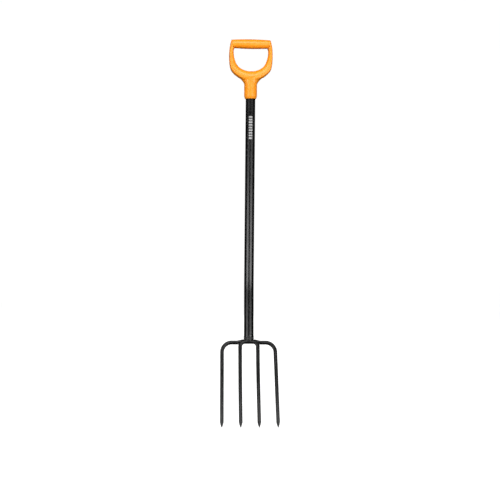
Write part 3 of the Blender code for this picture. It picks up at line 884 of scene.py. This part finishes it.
def handle_plastic():
    """Orange moulded plastic: spark-eroded grain, faint mottling, rubbed edges, painted shade in
    the hollows and fine scuffs.
    """
    made, tree, shader, place = new_material("orange_moulding", ior=1.43)
    mottle = noise_of(tree, place, 38.0, 3.0)
    cloud = noise_of(tree, place, 9.0, 2.0)
    colour = mixed(tree, ranged(tree, mottle, 0.35, 0.65), (0.77, 0.244, 0.008, 1),
                   (0.81, 0.262, 0.0100, 1))
    colour = mixed(tree, ranged(tree, cloud, 0.3, 0.8, 0.0, 0.25), colour, (0.78, 0.21, 0.009, 1))
    shape = add(tree, "ShaderNodeNewGeometry").outputs["Pointiness"]
    colour = mixed(tree, ranged(tree, shape, 0.52, 0.60, 0.0, 0.35), colour, (0.90, 0.33, 0.04, 1))
    # painted shade: hollows and creases are darkened as if shade fell in them
    colour = mixed(tree, ranged(tree, shape, 0.485, 0.42, 0.0, 0.20), colour,
                   (0.42, 0.11, 0.006, 1))

    scuff_place = stretched(tree, place, (1.0, 0.35, 0.25))
    scuffs = noise_of(tree, scuff_place, 900.0, 3.0, 0.7, 1.2)
    patches = noise_of(tree, place, 30.0, 2.0)
    worn = maths(tree, "MULTIPLY", ranged(tree, scuffs, 0.60, 0.70),
                 ranged(tree, patches, 0.5, 0.7))
    colour = mixed(tree, maths(tree, "MULTIPLY", worn, 0.16), colour, (0.95, 0.45, 0.12, 1))

    roughness = ranged(tree, mottle, 0.3, 0.7, 0.31, 0.38)
    roughness = maths(tree, "ADD", roughness, maths(tree, "MULTIPLY", worn, 0.12))
    grain = noise_of(tree, place, 2600.0, 2.0, 0.6)
    swell = noise_of(tree, place, 55.0, 1.0)
    normal = bumped(tree, swell, 0.05 * MM)
    normal = bumped(tree, grain, 0.035 * MM, normal)
    connect(tree, shader, colour, roughness, normal)
    return made


def mark_mask(tree, place):
    """1 on the bars of the printed mark, on the front of the shaft only."""
    axes = add(tree, "ShaderNodeSeparateXYZ", {"Vector": place}).outputs
    edge = 0.15 * MM
    across = maths(tree, "ABSOLUTE", axes["X"])
    inside = ranged(tree, across, MARK_HALF_WIDTH, MARK_HALF_WIDTH - edge)
    front = maths(tree, "LESS_THAN", axes["Y"], 0.0)
    drop = maths(tree, "SUBTRACT", MARK_TOP_Z, axes["Z"])
    pitch = MARK_LENGTH / MARK_BARS
    turn = maths(tree, "FRACT", maths(tree, "DIVIDE", drop, pitch))
    from_middle = maths(tree, "ABSOLUTE", maths(tree, "SUBTRACT", turn, 0.5))
    half_bar = MARK_BAR_SHARE / 2
    bar = ranged(tree, from_middle, half_bar, half_bar - edge / pitch)
    started = maths(tree, "GREATER_THAN", drop, 0.0)
    ended = maths(tree, "LESS_THAN", drop, MARK_LENGTH)
    mask = maths(tree, "MULTIPLY", maths(tree, "MULTIPLY", inside, front), bar)
    return maths(tree, "MULTIPLY", mask, maths(tree, "MULTIPLY", started, ended))


def shaft_plastic(name, marked):
    """Satin black plastic, drawn along the shaft, with fine scratches and maybe the mark."""
    made, tree, shader, place = new_material(name, ior=1.5)
    streak_place = stretched(tree, place, (1.0, 1.0, 0.02))
    streaks = noise_of(tree, streak_place, 1400.0, 2.0)
    haze = noise_of(tree, place, 24.0, 3.0)
    colour = mixed(tree, ranged(tree, streaks, 0.3, 0.7), (0.0022, 0.0022, 0.0024, 1),
                   (0.0042, 0.0042, 0.0045, 1))
    scratch_place = stretched(tree, place, (1.0, 1.0, 0.12))
    scratches = noise_of(tree, scratch_place, 1900.0, 3.0, 0.75, 0.8)
    rubbed = noise_of(tree, place, 14.0, 2.0)
    worn = maths(tree, "MULTIPLY", ranged(tree, scratches, 0.62, 0.70),
                 ranged(tree, rubbed, 0.5, 0.68))
    colour = mixed(tree, maths(tree, "MULTIPLY", worn, 0.5), colour, (0.014, 0.014, 0.015, 1))
    roughness = ranged(tree, haze, 0.3, 0.7, 0.20, 0.25)
    roughness = maths(tree, "ADD", roughness, maths(tree, "MULTIPLY", worn, 0.10))
    if marked:
        mask = mark_mask(tree, place)
        ink = noise_of(tree, place, 1500.0, 2.0)
        print_colour = mixed(tree, ranged(tree, ink, 0.3, 0.7), (0.25, 0.25, 0.25, 1),
                             (0.32, 0.32, 0.32, 1))
        colour = mixed(tree, mask, colour, print_colour)
        roughness = maths(tree, "ADD", roughness, maths(tree, "MULTIPLY", mask, 0.15))
    normal = bumped(tree, noise_of(tree, place, 260.0, 1.0), 0.012 * MM)
    normal = bumped(tree, streaks, 0.004 * MM, normal)
    connect(tree, shader, colour, roughness, normal)
    return made


def head_paint():
    """Black baked paint on forged steel: orange peel, rubbed edges, and a painted highlight that
    turns it greyer towards the points.
    """
    made, tree, shader, place = new_material("black_baked_paint", ior=1.45)
    patches = noise_of(tree, place, 45.0, 3.0)
    colour = mixed(tree, ranged(tree, patches, 0.3, 0.7), (0.003, 0.003, 0.0032, 1),
                   (0.0055, 0.0055, 0.0057, 1))
    # painted highlight: the paint turns greyer down to the points, in place of the reflection of
    # the lamp above
    height = add(tree, "ShaderNodeSeparateXYZ", {"Vector": place}).outputs["Z"]
    colour = mixed(tree, ranged(tree, height, PAINTED_LIGHT_FROM_Z, PAINTED_LIGHT_FULL_Z, 0.0, 1.0), colour,
                   (0.028, 0.028, 0.029, 1))
    shape = add(tree, "ShaderNodeNewGeometry").outputs["Pointiness"]
    colour = mixed(tree, ranged(tree, shape, 0.54, 0.64, 0.0, 0.5), colour,
                   (0.035, 0.034, 0.033, 1))
    specks = noise_of(tree, place, 1100.0, 3.0, 0.7)
    colour = mixed(tree, ranged(tree, specks, 0.66, 0.74, 0.0, 0.4), colour,
                   (0.03, 0.03, 0.031, 1))
    roughness = ranged(tree, patches, 0.3, 0.7, 0.28, 0.36)
    normal = bumped(tree, noise_of(tree, place, 90.0, 2.0), 0.25 * MM)
    normal = bumped(tree, noise_of(tree, place, 750.0, 2.0), 0.03 * MM, normal)
    connect(tree, shader, colour, roughness, normal)
    return made


def weld_paint():
    """The same paint over weld beads: thinner, greyer and dotted with spatter."""
    made, tree, shader, place = new_material("painted_weld", ior=1.5)
    patches = noise_of(tree, place, 220.0, 3.0, 0.6)
    colour = mixed(tree, ranged(tree, patches, 0.35, 0.65), (0.008, 0.008, 0.008, 1),
                   (0.05, 0.05, 0.05, 1))
    roughness = ranged(tree, patches, 0.3, 0.7, 0.34, 0.5)
    spatter = noise_of(tree, place, 900.0, 2.0, 0.6)
    normal = bumped(tree, noise_of(tree, place, 330.0, 3.0, 0.6), 0.25 * MM)
    normal = bumped(tree, spatter, 0.05 * MM, normal)
    connect(tree, shader, colour, roughness, normal)
    return made


def steel(name, colours, stretch, roughness_range):
    """Bare or plated steel with fine drawing lines and faint stains."""
    made, tree, shader, place = new_material(name, metallic=1.0)
    lines = noise_of(tree, stretched(tree, place, stretch), 1500.0, 2.0)
    stains = noise_of(tree, place, 70.0, 3.0)
    colour = mixed(tree, ranged(tree, stains, 0.35, 0.65), *colours)
    roughness = ranged(tree, lines, 0.3, 0.7, *roughness_range)
    normal = bumped(tree, lines, 0.01 * MM)
    connect(tree, shader, colour, roughness, normal)
    return made


# ---------------------------------------------------------------- the whole fork

def make_fork():
    """Every piece in its place; the tube, hidden in the sleeve, keeps its plain mesh."""
    orange = handle_plastic()
    grip_orange = handle_plastic()
    grip_orange.name = "orange_grip"
    paint = head_paint()
    weld = weld_paint()
    tube = steel("drawn_tube", ((0.40, 0.40, 0.41, 1), (0.32, 0.31, 0.31, 1)), (1, 1, 0.02),
                 (0.28, 0.42))
    plated = steel("zinc_plate", ((0.52, 0.52, 0.50, 1), (0.42, 0.43, 0.44, 1)), (1, 0.2, 1),
                   (0.25, 0.40))

    settle(make_handle(), orange, "handle_plastic", "handle_frame")
    settle(make_grip(), grip_orange, "handle_plastic", "grip_sleeve")
    settle(make_screw(), plated, "bare_steel", "handle_screw")
    settle(make_sleeve(), shaft_plastic("black_sleeve", True), "shaft_plastic", "shaft_sleeve")
    settle(make_end_ring(), shaft_plastic("black_ring", False), "shaft_plastic", "shaft_end_ring")
    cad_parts["shaft_tube"].data.materials.clear()
    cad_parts["shaft_tube"].data.materials.append(tube)

    outer = half_rod(OUTER_ROOT_X, OUTER_POINT_X, OUTER_CORNER_RADIUS, ROD_OFFSET, OUTER_RISE)
    inner = half_rod(INNER_ROOT_X, INNER_POINT_X, INNER_CORNER_RADIUS, -ROD_OFFSET, 0.0)
    spaces = [loft("rod_space", rod_rings(half, GAP)) for half in (outer, inner)]
    for name, half, seed, node in (("outer_rod", outer, 1.0, "outer_tine_rod"),
                                   ("inner_rod", inner, 2.0, "inner_tine_rod")):
        rod = loft(name, rod_rings(half, -FORGING))
        roughen(rod, FORGING, FORGING_SIZE, seed)
        settle(rod, paint, "head_steel", node)

    settle(make_stem(spaces), paint, "head_steel", "head_stem")
    settle(make_neck_bead(), weld, "head_steel", "neck_weld")
    settle(make_under_bead(), weld, "head_steel", "under_weld")
    settle(make_side_bead("left_bead", -1, spaces), weld, "head_steel", "left_tine_weld")
    settle(make_side_bead("right_bead", 1, spaces), weld, "head_steel", "right_tine_weld")
    for space in spaces:
        bpy.data.objects.remove(space, do_unlink=True)


# ---------------------------------------------------------------- studio

def from_camera(azimuth, distance, z):
    """A place at a height, out from the shaft; azimuth 0 is towards the camera."""
    turn = VIEW_AZIMUTH + azimuth
    return Vector((math.sin(turn) * distance, -math.cos(turn) * distance, z))


def softbox(azimuth, distance, z, size, radiance, aim_z, diffuse=True, glossy=True):
    """A rectangular lamp of even brightness that faces the fork and isn't seen itself."""
    lamp = bpy.data.lights.new("softbox", "AREA")
    lamp.shape = "RECTANGLE"
    lamp.size, lamp.size_y = size
    lamp.energy = radiance * 4 * lamp.size * lamp.size_y
    made = bpy.data.objects.new("softbox", lamp)
    made.location = from_camera(math.radians(azimuth), distance, z)
    towards = Vector((0, 0, aim_z)) - made.location
    made.rotation_euler = towards.to_track_quat("-Z", "Y").to_euler()
    made.visible_camera = False
    made.visible_diffuse = diffuse
    made.visible_glossy = glossy
    bpy.context.scene.collection.objects.link(made)


def mirrored(lamp, side):
    """A lamp's numbers on the camera's right (1) or left (-1)."""
    return (side * lamp[0],) + lamp[1:]


def make_lamps():
    """A key above the handle, soft light in front and behind, and panels for the stripes."""
    softbox(*KEY_LAMP)
    softbox(*CEILING_PANEL, diffuse=False)
    softbox(*BACK_LAMP)
    for side in (-1, 1):
        softbox(*mirrored(FRONT_LAMP, side), glossy=False)
        softbox(*mirrored(STRIPE_PANEL, side), diffuse=False)
        softbox(*mirrored(REAR_LAMP, side), glossy=False)


def make_world():
    """White behind the object, dark in its reflections, and a little soft light from all round."""
    world = bpy.data.worlds.new("studio")
    bpy.context.scene.world = world
    world.use_nodes = True
    tree = world.node_tree
    tree.nodes.clear()
    rays = add(tree, "ShaderNodeLightPath").outputs
    direction = add(tree, "ShaderNodeTexCoord").outputs["Generated"]
    height = add(tree, "ShaderNodeSeparateXYZ", {"Vector": direction}).outputs["Z"]
    sky = ranged(tree, height, -0.6, 1.0, 0.05, 0.32)
    diffuse = maths(tree, "MULTIPLY", rays["Is Diffuse Ray"], sky)
    seen = maths(tree, "ADD", diffuse, rays["Is Camera Ray"])
    strength = maths(tree, "ADD", seen, ALL_ROUND_LIGHT)
    shade = add(tree, "ShaderNodeBackground", {"Color": (1, 1, 1, 1), "Strength": strength})
    output = add(tree, "ShaderNodeOutputWorld")
    tree.links.new(shade.outputs[0], output.inputs["Surface"])


def make_floor():
    """A plain white floor that the points stand on."""
    bm = bmesh.new()
    corners = [bm.verts.new((x * FLOOR_HALF_SIZE, y * FLOOR_HALF_SIZE, FLOOR_Z))
               for x, y in ((-1, -1), (1, -1), (1, 1), (-1, 1))]
    bm.faces.new(corners)
    made = bpy.data.materials.new("floor_white")
    made.use_nodes = True
    shader = made.node_tree.nodes["Principled BSDF"]
    shader.inputs["Base Color"].default_value = (FLOOR_GREY, FLOOR_GREY, FLOOR_GREY, 1)
    shader.inputs["Roughness"].default_value = FLOOR_ROUGHNESS
    shader.inputs["Emission Color"].default_value = (1, 1, 1, 1)
    shader.inputs["Emission Strength"].default_value = FLOOR_GLOW
    floor = piece_from("floor", bm, made)
    floor.visible_diffuse = False
    floor.visible_glossy = False
    floor.visible_shadow = False


def make_camera():
    """Level, a little to the left of the fork's front, and rolled by a small tilt."""
    lens = bpy.data.cameras.new("camera")
    lens.lens = lens.sensor_width * VIEW_DISTANCE / VIEW_WIDTH
    camera = bpy.data.objects.new("camera", lens)
    bpy.context.scene.collection.objects.link(camera)
    bpy.context.scene.camera = camera
    right = Vector((math.cos(VIEW_AZIMUTH), math.sin(VIEW_AZIMUTH), 0))
    camera.location = from_camera(0.0, VIEW_DISTANCE, VIEW_HEIGHT_Z) + right * VIEW_SIDE
    upright = Matrix.Rotation(VIEW_AZIMUTH, 4, "Z") @ Matrix.Rotation(math.pi / 2, 4, "X")
    camera.rotation_euler = (upright @ Matrix.Rotation(VIEW_ROLL, 4, "Z")).to_euler()


make_camera()
make_world()
make_lamps()
make_floor()
make_fork()
bpy.context.scene.view_settings.view_transform = "Standard"
